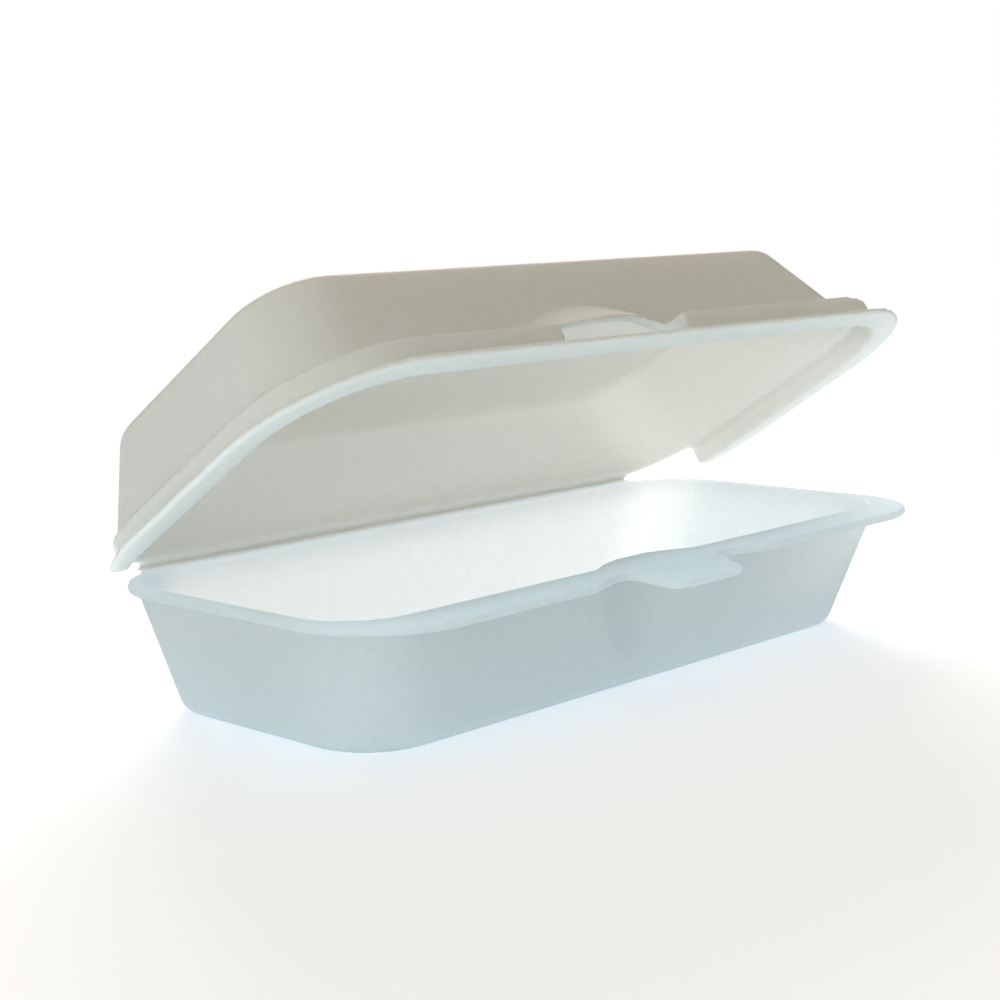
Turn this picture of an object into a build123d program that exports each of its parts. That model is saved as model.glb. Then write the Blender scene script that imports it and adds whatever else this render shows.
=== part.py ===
from build123d import *
import os
from math import cos, radians, sin, tan

# Hinged food container pressed from one sheet of foam: a tray and a lid that meet at a crease.
# Origin at the middle of the tray's underside, X along the crease, -Y to the latch, Z up.
# Sizes are in millimetres and degrees.

# The foam sheet and the room that the two halves leave each other
foam = 2.3
seat_gap = 0.3
cap_clearance = 0.6

# Tray
base_length = 198.0
base_width = 86.5
tray_height = 36.0
tray_side_draft = 19.6
tray_front_draft = 14.5
tray_rear_draft = 1.0
tray_corner = 21.0
base_edge_radius = 4.5
rim_length = 230.0
rim_width = 112.0
rim_corner = 28.0
rear_overhang = 4.2

# Crease between tray and lid
hinge_length = 197.0
hinge_land = 8.0
crease_web = 1.1
crease_band = 2.0

# Lid, measured forward from the crease and up from the plane where it seats on the tray
open_angle = 32.0
crown_height = 31.5
crown_length = 203.4
crown_rear = 5.5
crown_front = 96.5
crown_side_draft = 23.0
crown_front_draft = 16.3
crown_rear_draft = 3.7
crown_corner = 21.0
crown_edge_radius = 4.5
cap_depth = 7.0
lid_flange = 6.6
flange_foam = 1.8
flange_end = 19.0

# Latch: a tongue on the tray's rim that goes through a slot in the lid's shoulder
tongue_offset = -7.0
tongue_root = 34.0
tongue_tip = 29.0
tongue_reach = 8.5
tongue_corner = 5.0
tongue_droop = 8.0
tongue_bend_radius = 25.0
bar_length = 9.0
bar_width = 1.6
bar_height = 0.6
bar_reach = 3.5
notch_length = 20.0
notch_depth = 4.5
notch_corner = 3.0
scoop_radius = 34.0
scoop_depth = 6.0
scoop_foot = 8.0
slot_offset = -12.5
slot_length = 47.0
slot_top = 3.5
slot_corner = 2.5
hood_radius = 75.0
hood_height = 14.0
tip_run = 3.0

# Places that follow from the sizes above
base_front = -base_width / 2
base_rear = base_width / 2
crease_y = base_rear + rear_overhang
crease_z = tray_height + seat_gap / 2
rim_rear = crease_y - seat_gap / 2
rim_front = crease_y - rim_width
rim_underside = tray_height - foam
tray_slope = tan(radians(tray_front_draft))
wall_front = base_front - tray_height * tray_slope
scoop_wall = base_front - scoop_foot * tray_slope

tilt = radians(open_angle)
lid_plane = Plane(origin=(0, crease_y, crease_z), x_dir=(1, 0, 0), z_dir=(0, sin(tilt), cos(tilt)))
crown_top = lid_plane.offset(crown_height)
crown_plane = Plane(origin=crown_top.origin, x_dir=(-1, 0, 0), z_dir=-crown_top.z_dir)
ledge_under = seat_gap / 2
ledge_top = ledge_under + foam
flange_under = -cap_depth
flange_top = flange_under + flange_foam
pocket_length = rim_length + 2 * cap_clearance
pocket_front = rim_width + cap_clearance
pocket_corner = rim_corner + cap_clearance
shoulder_length = pocket_length + 2 * foam
shoulder_front = pocket_front + foam
shoulder_corner = pocket_corner + foam
lid_rim_length = shoulder_length + 2 * lid_flange
lid_rim_front = shoulder_front + lid_flange
lid_rim_corner = shoulder_corner + lid_flange
crown_slope = tan(radians(crown_front_draft))
crown_foot = crown_front + (crown_height - ledge_top) * crown_slope
hood_wall = crown_front + (crown_height - hood_height) * crown_slope
hood_depth = shoulder_front - crown_foot
beyond = 5.0

tongue_start = (rim_front + rim_rear) / 2
tongue_bend = rim_front + notch_depth
tongue_end = rim_front - tongue_reach - beyond
tongue_drop = (tongue_bend - tongue_end) * tan(radians(tongue_droop))
bar_place = rim_front - bar_reach
bar_foot = tray_height - (tongue_bend - bar_place) * tan(radians(tongue_droop)) - bar_height
slot_height = slot_top - flange_top
slot_place = lid_plane.from_local_coords((slot_offset, -crown_foot, flange_top + slot_height / 2))
slot_plane = Plane(origin=slot_place, x_dir=(1, 0, 0), z_dir=(0, -cos(tilt), sin(tilt)))


def pan(plane, inset, floor, drafts, depth, corner, edge_radius):
    """A tapered pan that opens along the plane's Z from its floor, drawn in all round by inset."""
    length, front, rear = floor
    side_slope, front_slope, rear_slope = (tan(radians(angle)) for angle in drafts)
    inner_length = length + 2 * inset * (side_slope - 1)
    inner_front = front - inset * (front_slope - 1)
    inner_rear = rear + inset * (rear_slope - 1)
    ground = plane.offset(inset)
    directions = (plane.x_dir, -plane.x_dir, -plane.y_dir, plane.y_dir)
    angles = (drafts[0], *drafts)
    upward = Axis(ground.origin, plane.z_dir)
    with BuildPart() as block:
        with BuildSketch(ground):
            with Locations((0, (inner_front + inner_rear) / 2)):
                Rectangle(inner_length, inner_rear - inner_front)
        extrude(amount=depth - inset)
        for direction, angle in zip(directions, angles):
            wall = block.faces().sort_by(Axis(ground.origin, direction))[-1]
            draft(wall, ground, -angle)
        fillet(block.edges().group_by(upward)[1], corner - inset)
        fillet(block.faces().sort_by(upward)[0].edges(), edge_radius - inset)
    return block.part


def swell(plane, offset, tip, mouth, radius, grow, carry):
    """A round bar that leans, its ridge led from tip to mouth and carried on past the mouth.

    Tip and mouth are each a place and a height on the plane. grow is added to the radius only."""
    along = plane.y_dir * (mouth[0] - tip[0]) + plane.z_dir * (mouth[1] - tip[1])
    origin = plane.from_local_coords((offset, *tip))
    ridge = Plane(origin=origin, x_dir=plane.x_dir, z_dir=along)
    with BuildPart() as bar:
        with BuildSketch(ridge.offset(-tip_run)):
            with Locations((0, -radius)):
                Circle(radius + grow)
        extrude(amount=tip_run + along.length + carry)
    return bar.part


# Tray: outside and inside of the pan, each with the scoop below the tongue
tray_floor = (base_length, base_front, base_rear)
tray_drafts = (tray_side_draft, tray_front_draft, tray_rear_draft)
tray_body = pan(Plane.XY, 0, tray_floor, tray_drafts, tray_height, tray_corner, base_edge_radius)
tray_hollow = pan(
    Plane.XY, foam, tray_floor, tray_drafts, tray_height + beyond, tray_corner, base_edge_radius
)
scoop_tip = (scoop_wall, scoop_foot)
scoop_mouth = (wall_front + scoop_depth, tray_height)
tray_scoop = swell(Plane.XY, tongue_offset, scoop_tip, scoop_mouth, scoop_radius, 0, 2 * beyond)
tray_bulge = swell(Plane.XY, tongue_offset, scoop_tip, scoop_mouth, scoop_radius, foam, 2 * beyond)

with BuildPart() as tray:
    add(tray_body)
    add(tray_scoop, mode=Mode.SUBTRACT)

    # Rim flange, with the straight land that carries the crease
    with BuildSketch(Plane.XY.offset(rim_underside)):
        with Locations((0, (rim_front + rim_rear) / 2)):
            RectangleRounded(rim_length, rim_rear - rim_front, rim_corner)
        with Locations((0, rim_rear - hinge_land / 2)):
            Rectangle(hinge_length, hinge_land)
    extrude(amount=foam)

    # Tongue, seen from its side: level with the rim, then drooping to its tip
    with BuildSketch(Plane.YZ.offset(tongue_offset - tongue_root / 2)):
        with BuildLine():
            top = FilletPolyline(
                (tongue_start, tray_height),
                (tongue_bend, tray_height),
                (tongue_end, tray_height - tongue_drop),
                radius=tongue_bend_radius,
            )
            bottom = FilletPolyline(
                (tongue_start, rim_underside),
                (tongue_bend, rim_underside),
                (tongue_end, rim_underside - tongue_drop),
                radius=tongue_bend_radius,
            )
            Line(top @ 0, bottom @ 0)
            Line(top @ 1, bottom @ 1)
        make_face()
    extrude(amount=tongue_root)

    # Raised bar along the tongue
    with BuildSketch(Plane((tongue_offset, bar_place, bar_foot))):
        SlotOverall(bar_length, bar_width)
    extrude(amount=2 * bar_height)

    # Outline of the tongue, with the rim eased back at both sides of its root
    with BuildSketch(Plane((tongue_offset, rim_front, rim_underside - tongue_drop - beyond))):
        with BuildLine():
            ease = Spline(
                (tongue_root / 2 + notch_length, 0),
                (tongue_root / 2 + notch_corner, notch_depth),
                tangents=((-1, 0), (-1, 0)),
            )
            root = TangentArc(ease @ 1, (tongue_root / 2, notch_depth - notch_corner), tangent=(-1, 0))
            side = FilletPolyline(
                root @ 1,
                (tongue_tip / 2, -tongue_reach),
                (0, -tongue_reach),
                radius=tongue_corner,
            )
            Polyline(
                side @ 1,
                (0, -tongue_reach - beyond),
                (tongue_root / 2 + notch_length, -tongue_reach - beyond),
                ease @ 0,
            )
        make_face()
        mirror(about=Plane.YZ)
    extrude(amount=foam + tongue_drop + 2 * beyond, mode=Mode.SUBTRACT)

    # The inside, which keeps one foam thickness round the scoop as well
    add(tray_hollow - tray_bulge, mode=Mode.SUBTRACT)

    # Groove under the crease, where the sheet is pressed to a thin web
    with BuildSketch(Plane.XY.offset(tray_height - crease_web)):
        with Locations((0, rim_rear - crease_band / 2)):
            Rectangle(rim_length, crease_band)
    extrude(amount=-foam, mode=Mode.SUBTRACT)

tray.part.label = "tray"

# Lid: outside and inside of the crown, each with the hood that leads down to the slot
lid_floor = (crown_length, -crown_front, -crown_rear)
lid_drafts = (crown_side_draft, crown_front_draft, crown_rear_draft)
crown_depth = crown_height - ledge_under
lid_crown = pan(crown_plane, 0, lid_floor, lid_drafts, crown_depth, crown_corner, crown_edge_radius)
lid_hollow = pan(
    crown_plane, foam, lid_floor, lid_drafts, crown_depth + beyond, crown_corner, crown_edge_radius
)
hood_tip = (-hood_wall, hood_height)
hood_mouth = (-shoulder_front, ledge_top)
hood_outside = swell(lid_plane, slot_offset, hood_tip, hood_mouth, hood_radius, 0, 0)
hood_inside = swell(lid_plane, slot_offset, hood_tip, hood_mouth, hood_radius, -foam, beyond)
lid_hood = split(hood_outside, bisect_by=lid_plane, keep=Keep.TOP)
hood_hollow = split(hood_inside, bisect_by=lid_plane, keep=Keep.TOP)

with BuildPart() as lid:
    add(lid_crown)
    add(lid_hood)

    # Ledge that seats on the tray's rim, with the straight land that carries the crease
    with BuildSketch(lid_plane.offset(ledge_under)):
        with Locations((0, -(shoulder_front + seat_gap / 2) / 2)):
            RectangleRounded(shoulder_length, shoulder_front - seat_gap / 2, shoulder_corner)
        with Locations((0, -(seat_gap + hinge_land) / 2)):
            Rectangle(hinge_length, hinge_land)
    extrude(amount=foam)

    # Shoulder that caps the rim's edge, cut off square before the crease
    with BuildSketch(lid_plane.offset(flange_under)):
        with Locations((0, -shoulder_front / 2)):
            RectangleRounded(shoulder_length, shoulder_front, shoulder_corner)
        with Locations((0, -flange_end / 2)):
            Rectangle(lid_rim_length, flange_end, mode=Mode.SUBTRACT)
    extrude(amount=ledge_top - flange_under)

    # Outer flange
    with BuildSketch(lid_plane.offset(flange_under)):
        with Locations((0, -lid_rim_front / 2)):
            RectangleRounded(lid_rim_length, lid_rim_front, lid_rim_corner)
        with Locations((0, -flange_end / 2)):
            Rectangle(lid_rim_length, flange_end, mode=Mode.SUBTRACT)
    extrude(amount=flange_foam)

    # Pocket that the tray's rim lies in
    with BuildSketch(lid_plane.offset(ledge_under)):
        with Locations((0, -pocket_front / 2)):
            RectangleRounded(pocket_length, pocket_front, pocket_corner)
    extrude(amount=-cap_depth - beyond, mode=Mode.SUBTRACT)

    # The inside
    add(lid_hollow, mode=Mode.SUBTRACT)
    add(hood_hollow, mode=Mode.SUBTRACT)

    # Slot for the tongue, through the hood and the front of the shoulder
    with BuildSketch(slot_plane):
        RectangleRounded(slot_length, slot_height, slot_corner)
    extrude(amount=hood_depth + cap_clearance, mode=Mode.SUBTRACT)

    # Groove over the crease
    with BuildSketch(lid_plane.offset(ledge_under + crease_web)):
        with Locations((0, -(seat_gap + crease_band) / 2)):
            Rectangle(rim_length, crease_band)
    extrude(amount=foam, mode=Mode.SUBTRACT)

lid.part.label = "lid"

os.makedirs("parts", exist_ok=True)
export_step(tray.part, "parts/tray.step")
export_step(lid.part, "parts/lid.step")
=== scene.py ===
from math import cos, radians, sin

import bpy
from mathutils import Matrix, Vector


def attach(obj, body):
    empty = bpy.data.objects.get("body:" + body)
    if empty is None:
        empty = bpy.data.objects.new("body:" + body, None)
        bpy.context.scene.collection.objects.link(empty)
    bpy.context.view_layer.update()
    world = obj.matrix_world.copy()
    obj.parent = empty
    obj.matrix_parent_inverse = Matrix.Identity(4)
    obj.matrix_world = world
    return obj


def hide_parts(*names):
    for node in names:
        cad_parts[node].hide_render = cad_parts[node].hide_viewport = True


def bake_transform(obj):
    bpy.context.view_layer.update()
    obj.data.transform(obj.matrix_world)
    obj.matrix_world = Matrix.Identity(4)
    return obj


# Foam clamshell container. Sizes are in metres in the part's own frame: X along the crease,
# -Y to the latch, Z up, origin under the middle of the tray.
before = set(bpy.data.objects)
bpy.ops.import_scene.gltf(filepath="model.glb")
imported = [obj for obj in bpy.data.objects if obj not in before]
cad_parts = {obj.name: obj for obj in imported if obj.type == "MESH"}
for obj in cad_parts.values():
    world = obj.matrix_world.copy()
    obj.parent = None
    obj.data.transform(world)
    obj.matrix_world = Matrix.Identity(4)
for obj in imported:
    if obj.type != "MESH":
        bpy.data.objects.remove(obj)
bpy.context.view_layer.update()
scene = bpy.context.scene

# The camera that fits the photograph
CAMERA_TARGET = Vector((0.0144, 0.0236, 0.0420))
CAMERA_AZIMUTH = radians(-45.36)
CAMERA_ELEVATION = radians(8.80)
CAMERA_ROLL = radians(-1.70)
CAMERA_DISTANCE = 0.5532
CAMERA_LENS = 67.09
CAMERA_SENSOR = 36.0
CAMERA_NEAR = 0.01

# How finely the foam is remeshed, how far its edges are softened, and the share of faces kept
FOAM_VOXEL = 0.0009
SOFTENING_PASSES = 8
KEPT_SHARE = 0.4

# The crease: a point of the axis that the lid turns on, the gap between the halves there, and
# the lid's angle at rest
CREASE = Vector((0.0, 0.04745, 0.03615))
CREASE_GAP = 0.0003
LID_TILT = radians(32.0)

# The web over the crease: its length, its height over each half's face, how far it reaches on
# to each half and where its bend begins, both from the axis, and the steps of the bend
WEB_LENGTH = 0.1965
WEB_LIFT = 0.00006
WEB_REACH = 0.0019
WEB_BEND = 0.0004
WEB_STEPS = 12

# Foam colours, linear, and the share of the light that goes through a face of the sheet
TRAY_COLOUR = (0.84, 0.855, 0.85)
LID_COLOUR = (0.85, 0.845, 0.81)
TRAY_SHEER = 0.78
LID_SHEER = 0.46
WEB_SHEER = 0.15
FOAM_ROUGHNESS = 0.6
FOAM_GLOSS = 0.3

# Painted shade: how dark the foam is painted in a concave crease, over which range of pointiness;
# and the foam's fine unevenness
HOLLOW_PAINTED_SHADE = 0.78
HOLLOW_PAINTED_SHADE_RANGE = (0.44, 0.495)
MOTTLE_SCALE = 520.0
MOTTLE_DETAIL = 1.0
MOTTLE_DEPTH = 0.07
BEAD_SCALE = 900.0
BEAD_DETAIL = 0.0
BEAD_DEPTH = 0.00006
BEAD_STRENGTH = 0.3

# Floor, a pale table. FLOOR_SEEN and FLOOR_LIFT are its colour and its lift towards white where
# the camera sees it, which turn to white over SHADOW_REACH from the tray. FLOOR_BOUNCE and
# FLOOR_GLOW are what it gives back to the object and what it adds, which fades over GLOW_REACH
# and is weaker by FOOTPRINT_SHADE under the tray.
FLOOR_HALF = 4.0
FLOOR_DROP = 0.0003
FLOOR_SEEN = (0.84, 0.88, 0.95)
FLOOR_LIFT = (0.36, 0.37, 0.38)
FLOOR_BOUNCE = (0.78, 0.86, 0.93)
FLOOR_GLOW = (0.74, 0.99, 1.16)
SHADOW_REACH = (0.30, 0.50)
GLOW_REACH = (0.18, 0.60)
FOOTPRINT = (0.099, 0.0432)
FOOTPRINT_SHADE = 0.55
BLACK = (0.0, 0.0, 0.0)
WHITE = (1.0, 1.0, 1.0)

# Room, brighter from above, and the two lamps
ROOM_COLOUR = (1.0, 0.88, 0.71)
ROOM_LOW = 0.04
ROOM_HIGH = 0.74
LAMP_AIM = Vector((0.0, 0.0, 0.05))
KEY_PLACE = Vector((1.0, 1.2, 0.55))
KEY_SIZE = 0.9
KEY_WATTS = 31.0
KEY_COLOUR = (1.0, 0.86, 0.80)
SIDE_PLACE = Vector((-1.2, -0.55, 0.15))
SIDE_SIZE = 0.5
SIDE_WATTS = 8.8
SIDE_COLOUR = (0.95, 1.0, 1.0)


def plain(colour):
    """A colour with its alpha."""
    return (*colour, 1.0)


def add_node(tree, kind, inputs=None, **settings):
    """A node with its settings, whose inputs are plain values or other nodes' outputs."""
    node = tree.nodes.new(kind)
    for name, setting in settings.items():
        setattr(node, name, setting)
    for socket, value in (inputs or {}).items():
        if isinstance(value, bpy.types.NodeSocket):
            tree.links.new(value, node.inputs[socket])
        else:
            node.inputs[socket].default_value = value
    return node


def blend_colours(tree, share, first, second, how="MIX"):
    """The output of a node that goes from the first colour to the second as the share grows."""
    node = add_node(
        tree,
        "ShaderNodeMix",
        {"Factor": share, "A": first, "B": second},
        data_type="RGBA",
        blend_type=how,
    )
    return node.outputs["Result"]


def compute(tree, operation, first, second):
    """The output of a node of arithmetic on two values."""
    node = add_node(tree, "ShaderNodeMath", {0: first, 1: second}, operation=operation)
    return node.outputs["Value"]


def foam_material(name, colour, sheer):
    """Pressed bead foam: pale and matt, a part of the light passing through, with a fine mottle and
    painted shade where its faces meet in concave creases.
    """
    material = bpy.data.materials.new(name)
    material.use_nodes = True
    tree = material.node_tree
    place = add_node(tree, "ShaderNodeTexCoord").outputs["Object"]

    mottle = add_node(
        tree,
        "ShaderNodeTexNoise",
        {"Vector": place, "Scale": MOTTLE_SCALE, "Detail": MOTTLE_DETAIL},
    )
    darker = [(1 - MOTTLE_DEPTH) * part for part in colour]
    tint = blend_colours(tree, mottle.outputs["Fac"], plain(darker), plain(colour))

    # Painted shade: the colour is darkened where two faces meet in a concave crease, found by
    # pointiness, for the shade that falls there
    form = add_node(tree, "ShaderNodeNewGeometry")
    painted_hollow_shade = add_node(
        tree,
        "ShaderNodeMapRange",
        {
            "Value": form.outputs["Pointiness"],
            "From Min": HOLLOW_PAINTED_SHADE_RANGE[0],
            "From Max": HOLLOW_PAINTED_SHADE_RANGE[1],
            "To Min": HOLLOW_PAINTED_SHADE,
        },
    )
    # Painted shade: the mottled colour times the darkening in creases
    tone = blend_colours(tree, 1.0, tint, painted_hollow_shade.outputs["Result"], "MULTIPLY")

    beads = add_node(
        tree,
        "ShaderNodeTexNoise",
        {"Vector": place, "Scale": BEAD_SCALE, "Detail": BEAD_DETAIL},
    )
    bump = add_node(
        tree,
        "ShaderNodeBump",
        {"Strength": BEAD_STRENGTH, "Distance": BEAD_DEPTH, "Height": beads.outputs["Fac"]},
    )

    surface = tree.nodes["Principled BSDF"]
    surface.inputs["Roughness"].default_value = FOAM_ROUGHNESS
    surface.inputs["Specular IOR Level"].default_value = FOAM_GLOSS
    tree.links.new(tone, surface.inputs["Base Color"])
    tree.links.new(bump.outputs["Normal"], surface.inputs["Normal"])
    passing = add_node(tree, "ShaderNodeBsdfTranslucent", {"Color": tone})
    sheet = add_node(
        tree,
        "ShaderNodeMixShader",
        {"Fac": sheer, 1: surface.outputs["BSDF"], 2: passing.outputs["BSDF"]},
    )
    tree.links.new(sheet.outputs["Shader"], tree.nodes["Material Output"].inputs["Surface"])
    return material


def foam_piece(name, node, material):
    """A softened copy of a CAD node, which then stands for it."""
    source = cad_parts[node]
    piece = bpy.data.objects.new(name, source.data.copy())
    piece.matrix_world = source.matrix_world.copy()
    scene.collection.objects.link(piece)
    remesh = piece.modifiers.new("Remesh", "REMESH")
    remesh.mode = "VOXEL"
    remesh.voxel_size = FOAM_VOXEL
    soften = piece.modifiers.new("Soften", "SMOOTH")
    soften.iterations = SOFTENING_PASSES
    thin = piece.modifiers.new("Thin", "DECIMATE")
    thin.ratio = KEPT_SHARE
    bpy.context.view_layer.update()
    graph = bpy.context.evaluated_depsgraph_get()
    mesh = bpy.data.meshes.new_from_object(piece.evaluated_get(graph), depsgraph=graph)
    piece.modifiers.clear()
    piece.data = mesh
    mesh.materials.clear()
    mesh.materials.append(material)
    mesh.shade_smooth()
    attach(piece, node)
    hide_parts(node)


def crease_web(material):
    """A thin sheet from the top of the tray's rim over the axis to the underside of the lid."""
    rise = CREASE_GAP / 2 - WEB_LIFT
    lid_forward = Vector((0, -cos(LID_TILT), sin(LID_TILT)))
    lid_upward = Vector((0, sin(LID_TILT), cos(LID_TILT)))
    tray_start = CREASE + Vector((0, -WEB_REACH, -rise))
    tray_turn = CREASE + Vector((0, -WEB_BEND, -rise))
    lid_turn = CREASE + lid_forward * WEB_BEND + lid_upward * rise
    lid_end = CREASE + lid_forward * WEB_REACH + lid_upward * rise
    profile = [tray_start]
    for step in range(WEB_STEPS + 1):
        share = step / WEB_STEPS
        bow = CREASE * (2 * share * (1 - share))
        profile.append(tray_turn * (1 - share) ** 2 + bow + lid_turn * share**2)
    profile.append(lid_end)
    vertices = []
    for point in profile:
        vertices.append((-WEB_LENGTH / 2, point.y, point.z))
        vertices.append((WEB_LENGTH / 2, point.y, point.z))
    faces = [(2 * i, 2 * i + 1, 2 * i + 3, 2 * i + 2) for i in range(len(profile) - 1)]
    mesh = bpy.data.meshes.new("crease_web")
    mesh.from_pydata(vertices, [], faces)
    mesh.materials.append(material)
    web = bpy.data.objects.new("crease_web", mesh)
    scene.collection.objects.link(web)
    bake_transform(web)


def floor_material():
    """A pale table: lifted to white for the camera, and with a bluish light for the object."""
    material = bpy.data.materials.new("floor")
    material.use_nodes = True
    tree = material.node_tree
    camera_ray = add_node(tree, "ShaderNodeLightPath").outputs["Is Camera Ray"]
    place = add_node(tree, "ShaderNodeTexCoord").outputs["Object"]
    distance = add_node(tree, "ShaderNodeVectorMath", {0: place}, operation="LENGTH")

    def fade_over(reach):
        node = add_node(
            tree,
            "ShaderNodeMapRange",
            {"Value": distance.outputs["Value"], "From Min": reach[0], "From Max": reach[1]},
            interpolation_type="SMOOTHSTEP",
        )
        return node.outputs["Result"]

    # The tray shuts off a part of the table's light under itself
    sides = add_node(tree, "ShaderNodeVectorMath", {0: place}, operation="ABSOLUTE")
    extent = add_node(tree, "ShaderNodeSeparateXYZ", {"Vector": sides.outputs["Vector"]})
    within_x = compute(tree, "LESS_THAN", extent.outputs["X"], FOOTPRINT[0])
    within_y = compute(tree, "LESS_THAN", extent.outputs["Y"], FOOTPRINT[1])
    under_tray = compute(tree, "MULTIPLY", within_x, within_y)
    shut_off = compute(tree, "MULTIPLY", under_tray, FOOTPRINT_SHADE)
    dimming = compute(tree, "MAXIMUM", fade_over(GLOW_REACH), shut_off)
    glow = blend_colours(tree, dimming, plain(FLOOR_GLOW), plain(BLACK))

    table = tree.nodes["Principled BSDF"]
    table.inputs["Roughness"].default_value = 1.0
    table.inputs["Specular IOR Level"].default_value = 0.0
    table.inputs["Emission Strength"].default_value = 1.0
    tone = blend_colours(tree, camera_ray, plain(FLOOR_BOUNCE), plain(FLOOR_SEEN))
    light = blend_colours(tree, camera_ray, glow, plain(FLOOR_LIFT))
    tree.links.new(tone, table.inputs["Base Color"])
    tree.links.new(light, table.inputs["Emission Color"])

    # Past the shadow, the camera sees plain white
    white = add_node(tree, "ShaderNodeEmission", {"Color": plain(WHITE)})
    cover = add_node(
        tree,
        "ShaderNodeMixShader",
        {
            "Fac": compute(tree, "MULTIPLY", fade_over(SHADOW_REACH), camera_ray),
            1: table.outputs["BSDF"],
            2: white.outputs["Emission"],
        },
    )
    tree.links.new(cover.outputs["Shader"], tree.nodes["Material Output"].inputs["Surface"])
    return material


def add_floor():
    """A square sheet just under the tray."""
    mesh = bpy.data.meshes.new("floor")
    corners = [
        (-FLOOR_HALF, -FLOOR_HALF, 0),
        (FLOOR_HALF, -FLOOR_HALF, 0),
        (FLOOR_HALF, FLOOR_HALF, 0),
        (-FLOOR_HALF, FLOOR_HALF, 0),
    ]
    mesh.from_pydata(corners, [], [(0, 1, 2, 3)])
    mesh.materials.append(floor_material())
    floor = bpy.data.objects.new("floor", mesh)
    floor.location.z = -FLOOR_DROP
    scene.collection.objects.link(floor)


def add_room():
    """A soft warm light on the object, and plain white where the camera sees past it."""
    world = bpy.data.worlds.new("studio")
    scene.world = world
    world.use_nodes = True
    tree = world.node_tree
    tree.nodes.clear()
    direction = add_node(tree, "ShaderNodeTexCoord").outputs["Generated"]
    height = add_node(tree, "ShaderNodeSeparateXYZ", {"Vector": direction})
    level = add_node(
        tree,
        "ShaderNodeMapRange",
        {"Value": height.outputs["Z"], "To Min": ROOM_LOW, "To Max": ROOM_HIGH},
    )
    room = add_node(
        tree,
        "ShaderNodeBackground",
        {"Color": plain(ROOM_COLOUR), "Strength": level.outputs["Result"]},
    )
    white = add_node(tree, "ShaderNodeBackground", {"Color": plain(WHITE), "Strength": 1.0})
    rays = add_node(tree, "ShaderNodeLightPath")
    choice = add_node(
        tree,
        "ShaderNodeMixShader",
        {
            "Fac": rays.outputs["Is Camera Ray"],
            1: room.outputs["Background"],
            2: white.outputs["Background"],
        },
    )
    add_node(tree, "ShaderNodeOutputWorld", {"Surface": choice.outputs["Shader"]})


def area_light(name, place, size, watts, colour):
    """A square soft light that faces the object."""
    light = bpy.data.lights.new(name, "AREA")
    light.shape = "SQUARE"
    light.size = size
    light.energy = watts
    light.color = colour
    lamp = bpy.data.objects.new(name, light)
    lamp.location = place
    lamp.rotation_euler = (LAMP_AIM - place).to_track_quat("-Z", "Y").to_euler()
    scene.collection.objects.link(lamp)


def add_camera():
    """The photograph's camera, from its target, bearing, height, roll and distance."""
    back = Vector(
        (
            sin(CAMERA_AZIMUTH) * cos(CAMERA_ELEVATION),
            -cos(CAMERA_AZIMUTH) * cos(CAMERA_ELEVATION),
            sin(CAMERA_ELEVATION),
        )
    )
    right = Vector((cos(CAMERA_AZIMUTH), sin(CAMERA_AZIMUTH), 0))
    up = back.cross(right)
    across = right * cos(CAMERA_ROLL) + up * sin(CAMERA_ROLL)
    above = up * cos(CAMERA_ROLL) - right * sin(CAMERA_ROLL)
    turn = Matrix((across, above, back)).transposed()
    camera = bpy.data.objects.new("camera", bpy.data.cameras.new("camera"))
    camera.data.lens = CAMERA_LENS
    camera.data.sensor_width = CAMERA_SENSOR
    camera.data.clip_start = CAMERA_NEAR
    place = CAMERA_TARGET + back * CAMERA_DISTANCE
    camera.matrix_world = Matrix.Translation(place) @ turn.to_4x4()
    scene.collection.objects.link(camera)
    return camera


tray_material = foam_material("tray foam", TRAY_COLOUR, TRAY_SHEER)
lid_material = foam_material("lid foam", LID_COLOUR, LID_SHEER)
web_material = foam_material("web foam", LID_COLOUR, WEB_SHEER)
foam_piece("tray_foam", "tray", tray_material)
foam_piece("lid_foam", "lid", lid_material)
crease_web(web_material)
add_floor()
add_room()
area_light("key", KEY_PLACE, KEY_SIZE, KEY_WATTS, KEY_COLOUR)
area_light("side", SIDE_PLACE, SIDE_SIZE, SIDE_WATTS, SIDE_COLOUR)
bpy.context.scene.camera = add_camera()
scene.view_settings.view_transform = "Standard"
